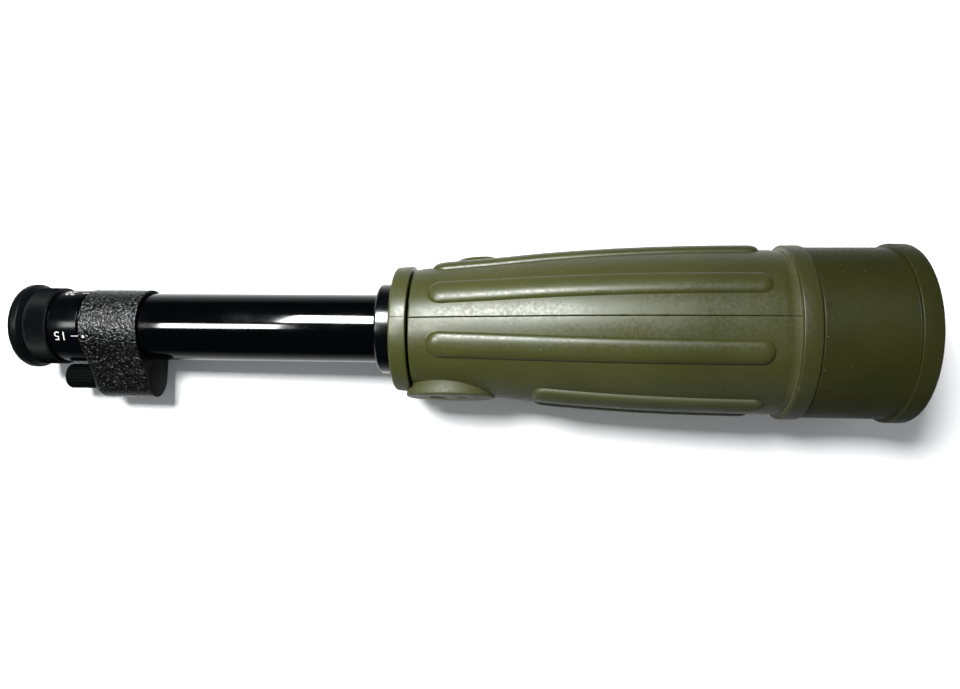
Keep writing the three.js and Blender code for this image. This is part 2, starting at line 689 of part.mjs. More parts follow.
const pod = group(rear);
pod.position.z = -POD.offset;
add(pod, "pod_end_cap", podEndCap(), satinBlack);
add(pod, "shaft_bush_rear", shaftBushRear(), brass);
add(pod, "shaft_bush_front", shaftBushFront(), brass);
add(pod, "focus_knob", focusKnob(), satinBlack);
add(pod, "focus_lead_screw", leadScrew(), steel);
add(pod, "knob_grub_screw", knobGrub(), steel);

const carrier = group(rear);
add(carrier, "focus_nut", focusNut(), brass);
add(carrier, "focus_link_pin", linkPin(), steel);
add(carrier, "guide_tube", guideTube(), blackMetal);
add(carrier, "cam_retaining_ring", camRetainer(), blackMetal);
add(carrier, "zoom_cam_tube", camTube(), brass);
for (const [place, at] of Object.entries(ERECTORS)) {
  add(carrier, `${place}_erector_cell`, erectorCell(at), blackMetal);
  add(carrier, `${place}_erector_lens`, erectorLens(at), glass);
  add(carrier, `${place}_erector_retaining_ring`, erectorRing(at), blackMetal);
  add(carrier, `${place}_erector_guide_pin`, guidePin(at), steel);
}

const ocular = group(rear);
add(ocular, "zoom_scale_ring", zoomScaleRing(), satinBlack);
add(ocular, "zoom_grip_ring", gripRing(), blackRubber);
add(ocular, "eyecup", eyecup(), blackRubber);
add(ocular, "eyepiece_barrel", eyepieceBarrel(), blackMetal);
add(ocular, "eye_lens", eyeLens(), glass);
add(ocular, "eye_lens_retaining_ring", slottedRing(-211.8, -209.9, 11, OCULAR.seat - 0.2), blackMetal);
add(ocular, "field_lens", fieldLens(), glass);
add(ocular, "field_stop", fieldStop(), blackMetal);
add(ocular, "zoom_drive_key", driveKey(), steel);

export default scope;
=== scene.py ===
"""Looks of the zoom spotting scope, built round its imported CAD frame.

Lengths in the builders are millimetres, with x measured from the tripod thread along the optical axis.
piece() moves them into the row frame, which is in metres and has its origin at half the scope's length.
"""

import json
import math

import bmesh
import bpy
import numpy as np
from mathutils import Matrix, Vector, noise

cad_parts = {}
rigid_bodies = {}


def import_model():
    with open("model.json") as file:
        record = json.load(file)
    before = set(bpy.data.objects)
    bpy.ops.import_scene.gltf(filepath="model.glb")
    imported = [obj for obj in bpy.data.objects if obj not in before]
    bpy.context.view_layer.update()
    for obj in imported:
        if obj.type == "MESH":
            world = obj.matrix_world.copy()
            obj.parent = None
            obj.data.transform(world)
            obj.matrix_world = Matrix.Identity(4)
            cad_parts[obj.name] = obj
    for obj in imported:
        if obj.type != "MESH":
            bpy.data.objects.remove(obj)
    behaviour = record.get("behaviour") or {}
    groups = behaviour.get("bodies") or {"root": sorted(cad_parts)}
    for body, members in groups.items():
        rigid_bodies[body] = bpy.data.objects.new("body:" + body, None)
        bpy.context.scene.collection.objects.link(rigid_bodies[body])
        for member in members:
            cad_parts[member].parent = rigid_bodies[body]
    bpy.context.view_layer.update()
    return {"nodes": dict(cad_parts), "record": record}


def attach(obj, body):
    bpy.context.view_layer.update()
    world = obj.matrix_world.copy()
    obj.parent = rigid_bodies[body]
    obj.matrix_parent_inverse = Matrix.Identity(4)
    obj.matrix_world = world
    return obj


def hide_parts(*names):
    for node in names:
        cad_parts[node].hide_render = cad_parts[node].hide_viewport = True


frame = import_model()

MM = 0.001
THREAD_X = -4.25  # the tripod thread's place in the row frame

# ---- Mesh helpers ---------------------------------------------------------------------------------------


def finish_mesh(obj, sharp=32):
    """Merges doubles, turns the faces outwards and shades smooth between sharp edges."""
    bm = bmesh.new()
    bm.from_mesh(obj.data)
    bmesh.ops.remove_doubles(bm, verts=bm.verts, dist=2e-6)
    bmesh.ops.dissolve_degenerate(bm, edges=bm.edges, dist=1e-7)
    bmesh.ops.recalc_face_normals(bm, faces=bm.faces)
    bm.to_mesh(obj.data)
    bm.free()
    obj.data.polygons.foreach_set("use_smooth", [True] * len(obj.data.polygons))
    obj.data.set_sharp_from_angle(angle=math.radians(sharp))
    obj.data.update()


def piece(name, verts, faces, finish, body, replaces=(), sharp=32):
    """A new piece from points in millimetres. finish is a material slot of the record."""
    points = (np.asarray(verts, float) + (THREAD_X, 0, 0)) * MM
    mesh = bpy.data.meshes.new(name)
    mesh.from_pydata(points.tolist(), [], faces)
    obj = bpy.data.objects.new(name, mesh)
    bpy.context.scene.collection.objects.link(obj)
    finish_mesh(obj, sharp)
    return dress(obj, finish, body, replaces)


def dress(obj, finish, body, replaces=()):
    obj.data.materials.clear()
    obj.data.materials.append(MATERIALS[finish])
    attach(obj, body)
    if replaces:
        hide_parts(*replaces)
    return obj


def rounded(outline, steps=4):
    """The outline's points are (x, r, corner radius). Gives its points with the corners rounded."""
    loop = []
    count = len(outline)
    for i, (x, r, corner) in enumerate(outline):
        here = np.array((x, r), float)
        before = np.array(outline[i - 1][:2], float) - here
        after = np.array(outline[(i + 1) % count][:2], float) - here
        if corner <= 0:
            loop.append(here)
            continue
        reach_b, reach_a = np.linalg.norm(before), np.linalg.norm(after)
        before, after = before / reach_b, after / reach_a
        half = math.acos(float(np.clip(before @ after, -1, 1))) / 2
        reach = min(corner / math.tan(half), 0.49 * reach_b, 0.49 * reach_a)
        radius = reach * math.tan(half)
        towards = (before + after) / np.linalg.norm(before + after)
        centre = here + towards * radius / math.sin(half)
        start = here + before * reach - centre
        end = here + after * reach - centre
        from_angle = math.atan2(start[1], start[0])
        turn = math.atan2(end[1], end[0]) - from_angle
        turn = (turn + math.pi) % (2 * math.pi) - math.pi
        for k in range(steps + 1):
            angle = from_angle + turn * k / steps
            loop.append(centre + radius * np.array((math.cos(angle), math.sin(angle))))
    return np.array(loop)


def grid_faces(rows, columns, wrap_rows, wrap_columns):
    faces = []
    for i in range(rows if wrap_rows else rows - 1):
        for k in range(columns if wrap_columns else columns - 1):
            a, b = i * columns + k, i * columns + (k + 1) % columns
            c, d = ((i + 1) % rows) * columns + (k + 1) % columns, ((i + 1) % rows) * columns + k
            faces.append((a, b, c, d))
    return faces


def turned(name, outline, finish, body, replaces=(), segments=160, shape=None, place=None, sharp=32):
    """A solid of revolution about the optical axis, or about the pod's axis with place=pod_place.
    shape(x, r, angle) may change each radius. An outline that starts on the axis ends on it."""
    loop = rounded(outline)
    open_ended = outline[0][1] == 0
    angles = np.arange(segments) * 2 * math.pi / segments
    x, angle = np.meshgrid(loop[:, 0], angles, indexing="ij")
    r = np.repeat(loop[:, 1:2], segments, axis=1)
    if shape:
        r = shape(x, r, angle)
    verts = np.stack([x, -r * np.cos(angle), r * np.sin(angle)], -1).reshape(-1, 3)
    if place:
        verts = place(verts)
    faces = grid_faces(len(loop), segments, not open_ended, True)
    return piece(name, verts, faces, finish, body, replaces, sharp)


POD_TURN = math.radians(21)
POD_OFFSET = 26.9


def turn_bracket(verts):
    """From a bracket whose pod hangs straight down to its real place."""
    c, s = math.cos(POD_TURN), math.sin(POD_TURN)
    x, y, z = verts.T
    return np.stack([x, y * c - z * s, y * s + z * c], -1)


def pod_place(verts):
    return turn_bracket(verts - (0, 0, POD_OFFSET))


# ---- Materials ------------------------------------------------------------------------------------------


def node(tree, kind, inputs=None, **attributes):
    made = tree.nodes.new(kind)
    for key, value in attributes.items():
        setattr(made, key, value)
    for key, value in (inputs or {}).items():
        if isinstance(value, bpy.types.NodeSocket):
            tree.links.new(value, made.inputs[key])
        else:
            made.inputs[key].default_value = value
    return made


def material(name):
    made = bpy.data.materials.new(name)
    made.use_nodes = True
    tree = made.node_tree
    bsdf = tree.nodes["Principled BSDF"]
    place = node(tree, "ShaderNodeTexCoord").outputs["Object"]
    return made, tree, bsdf, place


def noise_at(tree, place, scale, detail=2.0, roughness=0.5, stretch=None):
    if stretch:
        place = node(tree, "ShaderNodeMapping", {"Vector": place, "Scale": stretch}).outputs[0]
    inputs = {"Vector": place, "Scale": scale, "Detail": detail, "Roughness": roughness}
    return node(tree, "ShaderNodeTexNoise", inputs).outputs[0]


def ranged(tree, value, low, high, to_low=0.0, to_high=1.0):
    inputs = {0: value, 1: low, 2: high, 3: to_low, 4: to_high}
    return node(tree, "ShaderNodeMapRange", inputs).outputs[0]


def math_node(tree, operation, a, b=0.0):
    return node(tree, "ShaderNodeMath", {0: a, 1: b}, operation=operation).outputs[0]


def blend(tree, factor, a, b):
    made = node(tree, "ShaderNodeMix", data_type="RGBA")
    for key, value in (("Factor", factor), ("A", a), ("B", b)):
        socket = next(s for s in made.inputs if s.name == key and (key == "Factor" or s.type == "RGBA"))
        if isinstance(value, bpy.types.NodeSocket):
            tree.links.new(value, socket)
        else:
            socket.default_value = value if key == "Factor" else (*value, 1)
    return next(s for s in made.outputs if s.type == "RGBA")


def bump(tree, height, distance_mm, strength=1.0, normal=None):
    inputs = {"Height": height, "Distance": distance_mm * MM, "Strength": strength}
    if normal is not None:
        inputs["Normal"] = normal
    return node(tree, "ShaderNodeBump", inputs).outputs[0]


def specks(tree, place, scale, size, share):
    """A mask of small scattered spots, such as dust: 1 on a spot."""
    cells = node(tree, "ShaderNodeTexVoronoi", {"Vector": place, "Scale": scale})
    chosen = node(tree, "ShaderNodeSeparateColor", {0: cells.outputs["Color"]}).outputs[0]
    near = ranged(tree, cells.outputs["Distance"], size * 0.6, size, 1, 0)
    return math_node(tree, "MULTIPLY", near, math_node(tree, "LESS_THAN", chosen, share))


def olive_rubber(name, depth, ior=1.5):
    """Moulded olive rubber; depth scales how light its colour is, as painted shade for copies on parts that get
    less light.
    """
    made, tree, bsdf, place = material(name)
    cloud = ranged(tree, noise_at(tree, place, 28, 3), 0.35, 0.65)
    color = blend(tree, cloud, (0.034, 0.0388, 0.0074), (0.042, 0.047, 0.0095))
    scuff = ranged(tree, noise_at(tree, place, 60, 5, 0.65, (0.35, 1, 1)), 0.6, 0.8)
    color = blend(tree, math_node(tree, "MULTIPLY", scuff, 0.25), color, (0.065, 0.068, 0.025))
    grain = noise_at(tree, place, 1300, 3, 0.55)
    color = blend(tree, ranged(tree, grain, 0.35, 0.65, 0.0, 0.22), color, (0.02, 0.023, 0.005))
    # Lighter along sharp convex edges: partly edge wear, partly a painted highlight
    lighter_mask = ranged(tree, node(tree, "ShaderNodeNewGeometry").outputs["Pointiness"], 0.52, 0.57, 0, 0.85)
    color = blend(tree, lighter_mask, color, (0.11, 0.115, 0.05))
    dust = specks(tree, place, 520, 0.11, 0.05)
    color = blend(tree, math_node(tree, "MULTIPLY", dust, 0.6), color, (0.5, 0.5, 0.36))
    axes = node(tree, "ShaderNodeSeparateXYZ", {0: place})
    painted_light_falloff = ranged(tree, axes.outputs["X"], 0.02, 0.17, 1.2, 0.8)  # painted light: paler towards the rear, darker towards the front
    # depth darkens a whole copy of the rubber as painted shade
    painted_light_falloff = math_node(tree, "MULTIPLY", painted_light_falloff, depth)
    dim = node(tree, "ShaderNodeVectorMath", {0: color, 3: painted_light_falloff}, operation="SCALE").outputs[0]
    tree.links.new(dim, bsdf.inputs["Base Color"])
    sheen = ranged(tree, noise_at(tree, place, 70, 3, 0.5), 0.3, 0.7, 0.31, 0.38)
    dull = ranged(tree, axes.outputs["Z"], -0.031, -0.023, 0.2, 0.0)  # the foot is duller
    spots = ranged(tree, noise_at(tree, place, 600, 2, 0.5), 0.4, 0.62, 0.0, 0.08)
    sheen = math_node(tree, "ADD", sheen, spots)
    tree.links.new(math_node(tree, "ADD", sheen, dull), bsdf.inputs["Roughness"])
    waves = bump(tree, noise_at(tree, place, 160, 2), 0.04, 0.3)
    tree.links.new(bump(tree, grain, 0.032, 0.5, waves), bsdf.inputs["Normal"])
    bsdf.inputs["IOR"].default_value = ior
    return made


def gloss_black():
    made, tree, bsdf, place = material("gloss_black_tube")
    dust = specks(tree, place, 300, 0.06, 0.05)
    color = blend(tree, math_node(tree, "MULTIPLY", dust, 0.3), (0.0006, 0.0007, 0.0009), (0.12, 0.12, 0.115))
    tree.links.new(color, bsdf.inputs["Base Color"])
    smudge = ranged(tree, noise_at(tree, place, 45, 4, 0.65), 0.45, 0.75, 0.03, 0.1)
    tree.links.new(math_node(tree, "ADD", smudge, 0.04), bsdf.inputs["Roughness"])
    ripple = bump(tree, noise_at(tree, place, 60, 2, 0.5, (0.4, 1, 1)), 0.015, 0.2)
    tree.links.new(ripple, bsdf.inputs["Normal"])
    bsdf.inputs["IOR"].default_value = 1.52
    return made


def satin_black(name, ior):
    made, tree, bsdf, place = material(name)
    tint = ranged(tree, noise_at(tree, place, 120, 3), 0.3, 0.7)
    color = blend(tree, tint, (0.0008, 0.0009, 0.0012), (0.0016, 0.0018, 0.0026))
    dust = specks(tree, place, 420, 0.07, 0.05)
    color = blend(tree, math_node(tree, "MULTIPLY", dust, 0.3), color, (0.12, 0.12, 0.115))
    tree.links.new(color, bsdf.inputs["Base Color"])
    lines = noise_at(tree, place, 900, 3, 0.6, (6, 0.12, 0.12))
    tree.links.new(ranged(tree, lines, 0.3, 0.7, 0.14, 0.22), bsdf.inputs["Roughness"])
    tree.links.new(bump(tree, lines, 0.01, 0.5), bsdf.inputs["Normal"])
    bsdf.inputs["IOR"].default_value = ior
    return made


def wrinkle_black():
    made, tree, bsdf, place = material("wrinkle_black")
    bent = node(tree, "ShaderNodeTexNoise", {"Vector": place, "Scale": 700.0, "Detail": 2.0}).outputs["Color"]
    mixed = node(tree, "ShaderNodeVectorMath", {0: bent, 1: (0.5, 0.5, 0.5)}, operation="SUBTRACT").outputs[0]
    mixed = node(tree, "ShaderNodeVectorMath", {0: mixed, 3: 0.0009}, operation="SCALE").outputs[0]
    moved = node(tree, "ShaderNodeVectorMath", {0: place, 1: mixed}, operation="ADD").outputs[0]
    cells = node(tree, "ShaderNodeTexVoronoi", {"Vector": moved, "Scale": 1150.0}, feature="SMOOTH_F1")
    folds = ranged(tree, cells.outputs["Distance"], 0.15, 0.6, 1, 0)
    color = blend(tree, folds, (0.0006, 0.0006, 0.0006), (0.003, 0.003, 0.0029))
    tree.links.new(color, bsdf.inputs["Base Color"])
    tree.links.new(ranged(tree, noise_at(tree, place, 400, 2), 0.3, 0.7, 0.2, 0.3), bsdf.inputs["Roughness"])
    tree.links.new(bump(tree, folds, 0.3, 1.0), bsdf.inputs["Normal"])
    bsdf.inputs["IOR"].default_value = 1.5
    return made


def black_rubber():
    made, tree, bsdf, place = material("black_rubber")
    tint = ranged(tree, noise_at(tree, place, 90, 4, 0.6), 0.3, 0.7)
    color = blend(tree, tint, (0.0016, 0.0024, 0.0023), (0.003, 0.0042, 0.004))
    dust = specks(tree, place, 500, 0.09, 0.06)
    color = blend(tree, math_node(tree, "MULTIPLY", dust, 0.25), color, (0.1, 0.1, 0.09))
    tree.links.new(color, bsdf.inputs["Base Color"])
    tree.links.new(ranged(tree, noise_at(tree, place, 300, 3), 0.3, 0.7, 0.3, 0.42), bsdf.inputs["Roughness"])
    tree.links.new(bump(tree, noise_at(tree, place, 1800, 3), 0.03, 0.5), bsdf.inputs["Normal"])
    bsdf.inputs["IOR"].default_value = 1.15
    return made


def matt_black():
    made, tree, bsdf, place = material("matt_black_metal")
    tint = ranged(tree, noise_at(tree, place, 200, 3), 0.3, 0.7)
    color = blend(tree, tint, (0.0012, 0.0013, 0.0014), (0.0025, 0.0026, 0.0027))
    tree.links.new(color, bsdf.inputs["Base Color"])
    tree.links.new(ranged(tree, tint, 0, 1, 0.42, 0.55), bsdf.inputs["Roughness"])
    lines = noise_at(tree, place, 700, 2, 0.5, (5, 0.2, 0.2))
    tree.links.new(bump(tree, lines, 0.02, 0.4), bsdf.inputs["Normal"])
    bsdf.inputs["IOR"].default_value = 1.07
    return made


def bare_metal(name, dark, light, low, high):
    made, tree, bsdf, place = material(name)
    tint = ranged(tree, noise_at(tree, place, 300, 4, 0.6), 0.3, 0.7)
    tree.links.new(blend(tree, tint, dark, light), bsdf.inputs["Base Color"])
    lines = noise_at(tree, place, 900, 3, 0.6, (6, 0.3, 0.3))
    tree.links.new(ranged(tree, lines, 0.3, 0.7, low, high), bsdf.inputs["Roughness"])
    tree.links.new(bump(tree, lines, 0.01, 0.5), bsdf.inputs["Normal"])
    bsdf.inputs["Metallic"].default_value = 1
    return made


def felt():
    made, tree, bsdf, place = material("black_felt")
    fibres = noise_at(tree, place, 1400, 5, 0.75)
    tree.links.new(blend(tree, fibres, (0.004, 0.004, 0.004), (0.02, 0.02, 0.02)), bsdf.inputs["Base Color"])
    tree.links.new(ranged(tree, fibres, 0, 1, 0.85, 1), bsdf.inputs["Roughness"])
    tree.links.new(bump(tree, fibres, 0.2, 0.8), bsdf.inputs["Normal"])
    return made


def coated_glass():
    """Lens glass with a thin coating whose reflection turns green at the middle and violet at the edge."""
    made, tree, bsdf, place = material("coated_glass")
    facing = node(tree, "ShaderNodeLayerWeight", {"Blend": 0.35}).outputs["Facing"]
    tint = blend(tree, ranged(tree, facing, 0.1, 0.7), (0.25, 0.75, 0.4), (0.5, 0.28, 0.85))
    tree.links.new(tint, bsdf.inputs["Specular Tint"])
    haze = ranged(tree, noise_at(tree, place, 120, 4, 0.65), 0.55, 0.85, 0.0, 0.03)
    tree.links.new(haze, bsdf.inputs["Roughness"])
    bsdf.inputs["Base Color"].default_value = (0.9, 0.97, 0.95, 1)
    bsdf.inputs["Transmission Weight"].default_value = 1
    bsdf.inputs["IOR"].default_value = 1.52
    return made


def white_paint():
    made, tree, bsdf, place = material("white_marking")
    lighter_mask = ranged(tree, noise_at(tree, place, 900, 4, 0.6), 0.3, 0.7)
    tree.links.new(blend(tree, lighter_mask, (0.5, 0.5, 0.49), (0.75, 0.75, 0.73)), bsdf.inputs["Base Color"])
    bsdf.inputs["Roughness"].default_value = 0.5
    return made


MATERIALS = {
    "olive_rubber": olive_rubber("olive_rubber", 1.0),
    "gloss_black_tube": gloss_black(),
    "satin_black_anodised": satin_black("satin_black_anodised", 1.45),
    "wrinkle_black": wrinkle_black(),
    "black_rubber": black_rubber(),
    "matt_black_metal": matt_black(),
    "steel": bare_metal("steel", (0.42, 0.42, 0.43), (0.56, 0.56, 0.57), 0.22, 0.38),
    "brass": bare_metal("brass", (0.5, 0.36, 0.13), (0.62, 0.47, 0.2), 0.25, 0.4),
    "black_felt": felt(),
    "coated_glass": coated_glass(),
}
WHITE = white_paint()

for part in frame["record"]["subparts"]:
    shown = frame["nodes"][part["node"]]
    shown.data.materials.clear()
    shown.data.materials.append(MATERIALS[part["material_slot"]])

# ---- Armour ---------------------------------------------------------------------------------------------

RIB_HEIGHT = 2.4
RIB_ANGLES = (23.5, 69.5, 110.5, 156.5)
FOOT_FACE = 34.5
FOOT_PLAN = (6.4, 22.2, 17.0)  # the oval's centre along x, and its half-axes
MOUTH_RADIUS = 39.9
SWELL = 11  # how much smaller the body's radius is at its rear
REAR_FLARE = 1.5  # the armour is a little fuller towards the rear than the CAD's
ARMOUR_REAR = -12.0


def smooth_step(low, high, value):
    t = np.clip((value - low) / (high - low), 0, 1)
    return t * t * (3 - 2 * t)


def swell(x):
    """Radius of the armoured body without its ribs."""
    back = np.maximum(0, (154 - x) / 161)
    return MOUTH_RADIUS - SWELL * back**2.25 + REAR_FLARE * (1 - smooth_step(-16, 34, x))


def soft_max(a, b, width):
    meet = np.maximum(width - np.abs(a - b), 0) / width
    return np.maximum(a, b) + meet * meet * width / 4


def rib_width(x):
    return 6.2 - 0.7 * np.clip((x + 3) / 157, 0, 1)


def rib_height(x, across, rear, front=154.0):
    """Ribs are flattened round bars sunk in the rubber, with round ends and steep flanks."""
    width = rib_width(x)
    start, end = rear + rib_width(rear), front - rib_width(front)
    from_middle = np.hypot(x - np.clip(x, start, end), across)
    bar = RIB_HEIGHT * np.sqrt(np.maximum(1 - (from_middle / width) ** 2.5, 0))
    return soft_max(bar, 0 * bar, 0.15)


def pad_height(x, across):
    """The oval pad on top, with soft flanks."""
    inside = 1 - np.hypot((x - 17.6) / 11.6, across / 7.2)
    return 4.2 * np.sqrt(np.clip(inside * 2.6, 0, 1) * (2 - np.clip(inside * 2.6, 0, 1)))


RIB_LINES = (-0.8, -0.35, -0.1, 0.1, 0.35, 0.75, 1.3, 2.1, 3.1, 4.4)
SEAM_LINES = (0.5, 1.0, 1.8, 3.0)


def stations(x):
    """Angles of the mesh lines, from the seam on the -Y side to the seam on the +Y side."""
    radius = float(swell(x))
    offsets = [rib_width(x) - line for line in RIB_LINES]
    offsets = np.array([-o for o in offsets] + [0] + offsets[::-1])
    ribs = [math.radians(centre) + offsets / radius for centre in RIB_ANGLES]
    seam = np.array(SEAM_LINES) / radius
    groups = [seam, ribs[0], ribs[1], ribs[2], ribs[3], math.pi - seam[::-1]]
    found = [groups[0]]
    for before, after, lines in zip(groups, groups[1:], (4, 12, 22, 12, 4)):
        found += [np.linspace(before[-1], after[0], lines + 2)[1:-1], after]
    return np.concatenate(found)


def armour_lines():
    """Places along x of the mesh lines: close where the ribs and the pad end, far apart between them."""
    parts = [(-10.8, -3.6, 9), (-3.3, 3.6, 24), (4.4, 31, 28), (32.5, 45.4, 7)]
    parts += [(46.1, 53, 22), (55, 146, 26), (147.3, 154.4, 24), (155.5, 161.8, 6)]
    return np.concatenate([np.linspace(*p) for p in parts])


def seam_gap(x):
    """Half the gap at the seam, with the small nicks of a moulding line."""
    nick = max(0, noise.noise(Vector((x * 0.45, 3.1, 7.7))) - 0.25)
    return 0.14 + 0.55 * nick


def armour_half(name, lower, replaced):
    sign = -1 if lower else 1
    outside = [(ARMOUR_REAR, float(swell(ARMOUR_REAR)), 0.8)]
    outside += [(x, float(swell(x)), 0) for x in armour_lines()]
    outside += [(173.2, MOUTH_RADIUS, 0)]
    inside = [(x, float(swell(x)) - 3, 0) for x in (173.2, 150, 120, 90, 60, 30, 10, ARMOUR_REAR)]
    loop = rounded(outside + inside, 6)
    verts = []
    for x, r in loop:
        outer = r > float(swell(x)) - 1.2
        angle = stations(x)
        radius = np.full(len(angle), r)
        if outer and x < 160:
            for centre in RIB_ANGLES:
                beside_foot = lower and 45 < centre < 135
                across = (angle - math.radians(centre)) * float(swell(x))
                radius = radius + rib_height(x, across, 46.6 if beside_foot else -3.0)
            if not lower:
                across = (angle - math.pi / 2) * float(swell(x))
                radius = soft_max(radius, r + pad_height(x, across), 0.6)
        gap = seam_gap(x) if outer else 0.14
        ends = [math.asin((gap + lip) / r) for lip in (0, 0.12, 0.24)]
        angle = np.concatenate([ends, angle, [math.pi - e for e in reversed(ends)]])
        drop = np.array([0.3, 0.08, 0.0])
        radius = np.concatenate([radius[0] - drop, radius, radius[-1] - drop[::-1]])
        if not outer:
            radius = np.full(len(angle), r)
        across, up = -radius * np.cos(angle), sign * radius * np.sin(angle)
        verts.append(np.stack([np.full(len(angle), x), across, up], -1))
    columns = len(verts[0])
    faces = grid_faces(len(loop), columns, True, False)
    faces.append([i * columns for i in range(len(loop))])
    faces.append([i * columns + columns - 1 for i in reversed(range(len(loop)))])
    return piece(name, np.concatenate(verts), faces, "olive_rubber", BODY, replaced, sharp=38)


def combine(obj, other, operation):
    """Joins obj with other, or cuts other out of it, and removes other."""
    step = obj.modifiers.new("step", "BOOLEAN")
    step.operation, step.solver, step.object = operation, "EXACT", other
    bpy.context.view_layer.update()
    made = bpy.data.meshes.new_from_object(obj.evaluated_get(bpy.context.evaluated_depsgraph_get()))
    obj.modifiers.clear()
    obj.data = made
    bpy.data.objects.remove(other)


def stack(rings):
    """A closed solid from rings of points, stacked and capped at both ends."""
    count = len(rings[0])
    faces = grid_faces(len(rings), count, False, True)
    faces.append(list(reversed(range(count))))
    faces.append([(len(rings) - 1) * count + i for i in range(count)])
    return piece("tool", np.concatenate(rings), faces, "olive_rubber", BODY)


def oval(shrink, z):
    middle, long, wide = FOOT_PLAN
    turns = np.arange(120) * 2 * math.pi / 120
    x, y = middle + (long - shrink) * np.cos(turns), (wide - shrink) * np.sin(turns)
    return np.stack([x, y, 0 * x + z], -1)


def box(x0, x1, y, z0, z1):
    corners = np.array([(x0, -y), (x1, -y), (x1, y), (x0, y)])
    return stack([np.column_stack([corners, np.full(4, z)]) for z in (z0, z1)])


def round_hole(x, radius):
    turns = np.arange(48) * 2 * math.pi / 48
    mouth = radius + 0.5
    levels = [(mouth, -FOOT_FACE - 2), (mouth, -FOOT_FACE - 0.02), (radius, -FOOT_FACE + 0.5), (radius, -30)]
    return stack([np.stack([x + r * np.cos(turns), r * np.sin(turns), 0 * turns + z], -1) for r, z in levels])


def add_foot(armour):
    """The oval foot: its heel passes under the end ring, and its block sits in a pocket behind the rubber."""
    turns = np.linspace(0, math.pi / 2, 7)
    edge = [oval(1.1 * (1 - math.sin(t)), -FOOT_FACE + 1.1 * (1 - math.cos(t))) for t in turns]
    flank = [oval(0.06 * (z + 33.4) + 0.035 * (z + 33.4) ** 2, z) for z in np.arange(-33, -21, 0.5)]
    foot = stack([*edge, *flank])
    space = [(-30, 0, 0), (-30, 31.75, 0), (-11.8, 31.75, 0), (-11.8, float(swell(-11.8)) - 1.5, 0)]
    space += [(x, float(swell(x)) - 1.5, 0) for x in (0, 10, 20, 30, 40)] + [(40, 0, 0)]
    combine(foot, turned("tool_space", space, "olive_rubber", BODY), "DIFFERENCE")
    combine(armour, foot, "UNION")
    combine(armour, box(-7.25, 21.75, 10.25, -32.75, -14), "DIFFERENCE")
    combine(armour, round_hole(0, 4.2), "DIFFERENCE")
    combine(armour, round_hole(12, 2.6), "DIFFERENCE")
    finish_mesh(armour, 38)


BODY = "scope_body"
armour_half("armour_upper", False, ["body_armour_upper"])
add_foot(armour_half("armour_lower", True, ["body_armour_lower"]))
mouth_band = turned("mouth_band", [(164.9, 39.93, 0), (165.2, 41.2, 0.3), (165.2, 42.4, 0.7),
    (173.5, 42.4, 0.8), (173.5, 39.93, 0)], "olive_rubber", BODY, ["body_armour_upper", "body_armour_lower"],
    segments=200)
# The band's copy of the rubber is a little darker as painted shade, with a slightly duller gloss
mouth_band.data.materials[0] = olive_rubber("olive_rubber_band_painted_shade", 0.85, 1.4)


def parting_line(x, r, angle):
    """A fine groove where the two halves of a moulded ring meet, on both sides."""
    off = np.abs(r * np.sin(angle))
    return r - 0.3 * (1 - smooth_step(0.08, 0.34, off)) * (r > 29)


def end_ring():
    outline = [(-21.4, 27.4, 0.3), (-21.4, 31.0, 1.3), (-13.0, 31.6, 0.5), (-13.0, 27.4, 0.2)]
    loop = rounded(outline, 6)
    fine = np.radians(np.concatenate([np.linspace(-1.2, 1.2, 13), np.linspace(3, 177, 88)]))
    angles = np.concatenate([fine, fine + math.pi])
    x, angle = np.meshgrid(loop[:, 0], angles, indexing="ij")
    r = parting_line(x, np.repeat(loop[:, 1:2], len(angles), axis=1), angle)
    verts = np.stack([x, -r * np.cos(angle), r * np.sin(angle)], -1).reshape(-1, 3)
    faces = grid_faces(len(loop), len(angles), True, True)
    return piece("end_ring", verts, faces, "olive_rubber", BODY, ["rear_cap_armour_ring"])


end_ring()

# ---- Turned parts of the body ---------------------------------------------------------------------------

turned("rear_cap_flange", [(-20.2, 20, 0.2), (-11.3, 20, 0), (-11.3, 17.5, 0), (8, 17.5, 0), (8, 22.7, 0),
    (-12.2, 22.7, 0), (-12.2, 27.2, 0.2), (-20.2, 27.2, 0.3)], "matt_black_metal", BODY, ["rear_cap"])
turned("lock_collar", [(-30, 17.4, 0.25), (-30, 21.5, 0.25), (-29, 22.5, 0.25), (-20.5, 22.5, 0.35),
    (-20.5, 19.8, 0.1), (-14.3, 19.8, 0), (-14.3, 17.4, 0)], "satin_black_anodised", BODY, ["tube_lock_collar"])
turned("eyepiece_tube", [(-194, 15.75, 0), (-194, 16.4, 0.2), (-181.2, 16.4, 0), (-181.2, 17.25, 0.2),
    (14, 17.25, 0.2), (14, 15.75, 0)], "gloss_black_tube", BODY, ["rear_tube"])

barrel = [(-11.8, 23, 0), (10, 23, 0), (10, float(swell(10)) - 5.2, 0)]
barrel += [(x, float(swell(x)) - 5.2, 0) for x in (40, 70, 100, 130, 160)]
barrel += [(170.8, 33, 0), (218, 33, 0.2), (218, 35, 0.3), (217.3, 35, 0), (217.3, 34.1, 0), (215.2, 34.1, 0)]
barrel += [(215.2, 35, 0), (173.8, 35, 0), (173.8, 36.6, 0)]
barrel += [(x, float(swell(x)) - 3.2, 0) for x in (150, 120, 90, 60, 30, 10, -11.8)]
turned("barrel", barrel, "matt_black_metal", BODY, ["main_barrel"])

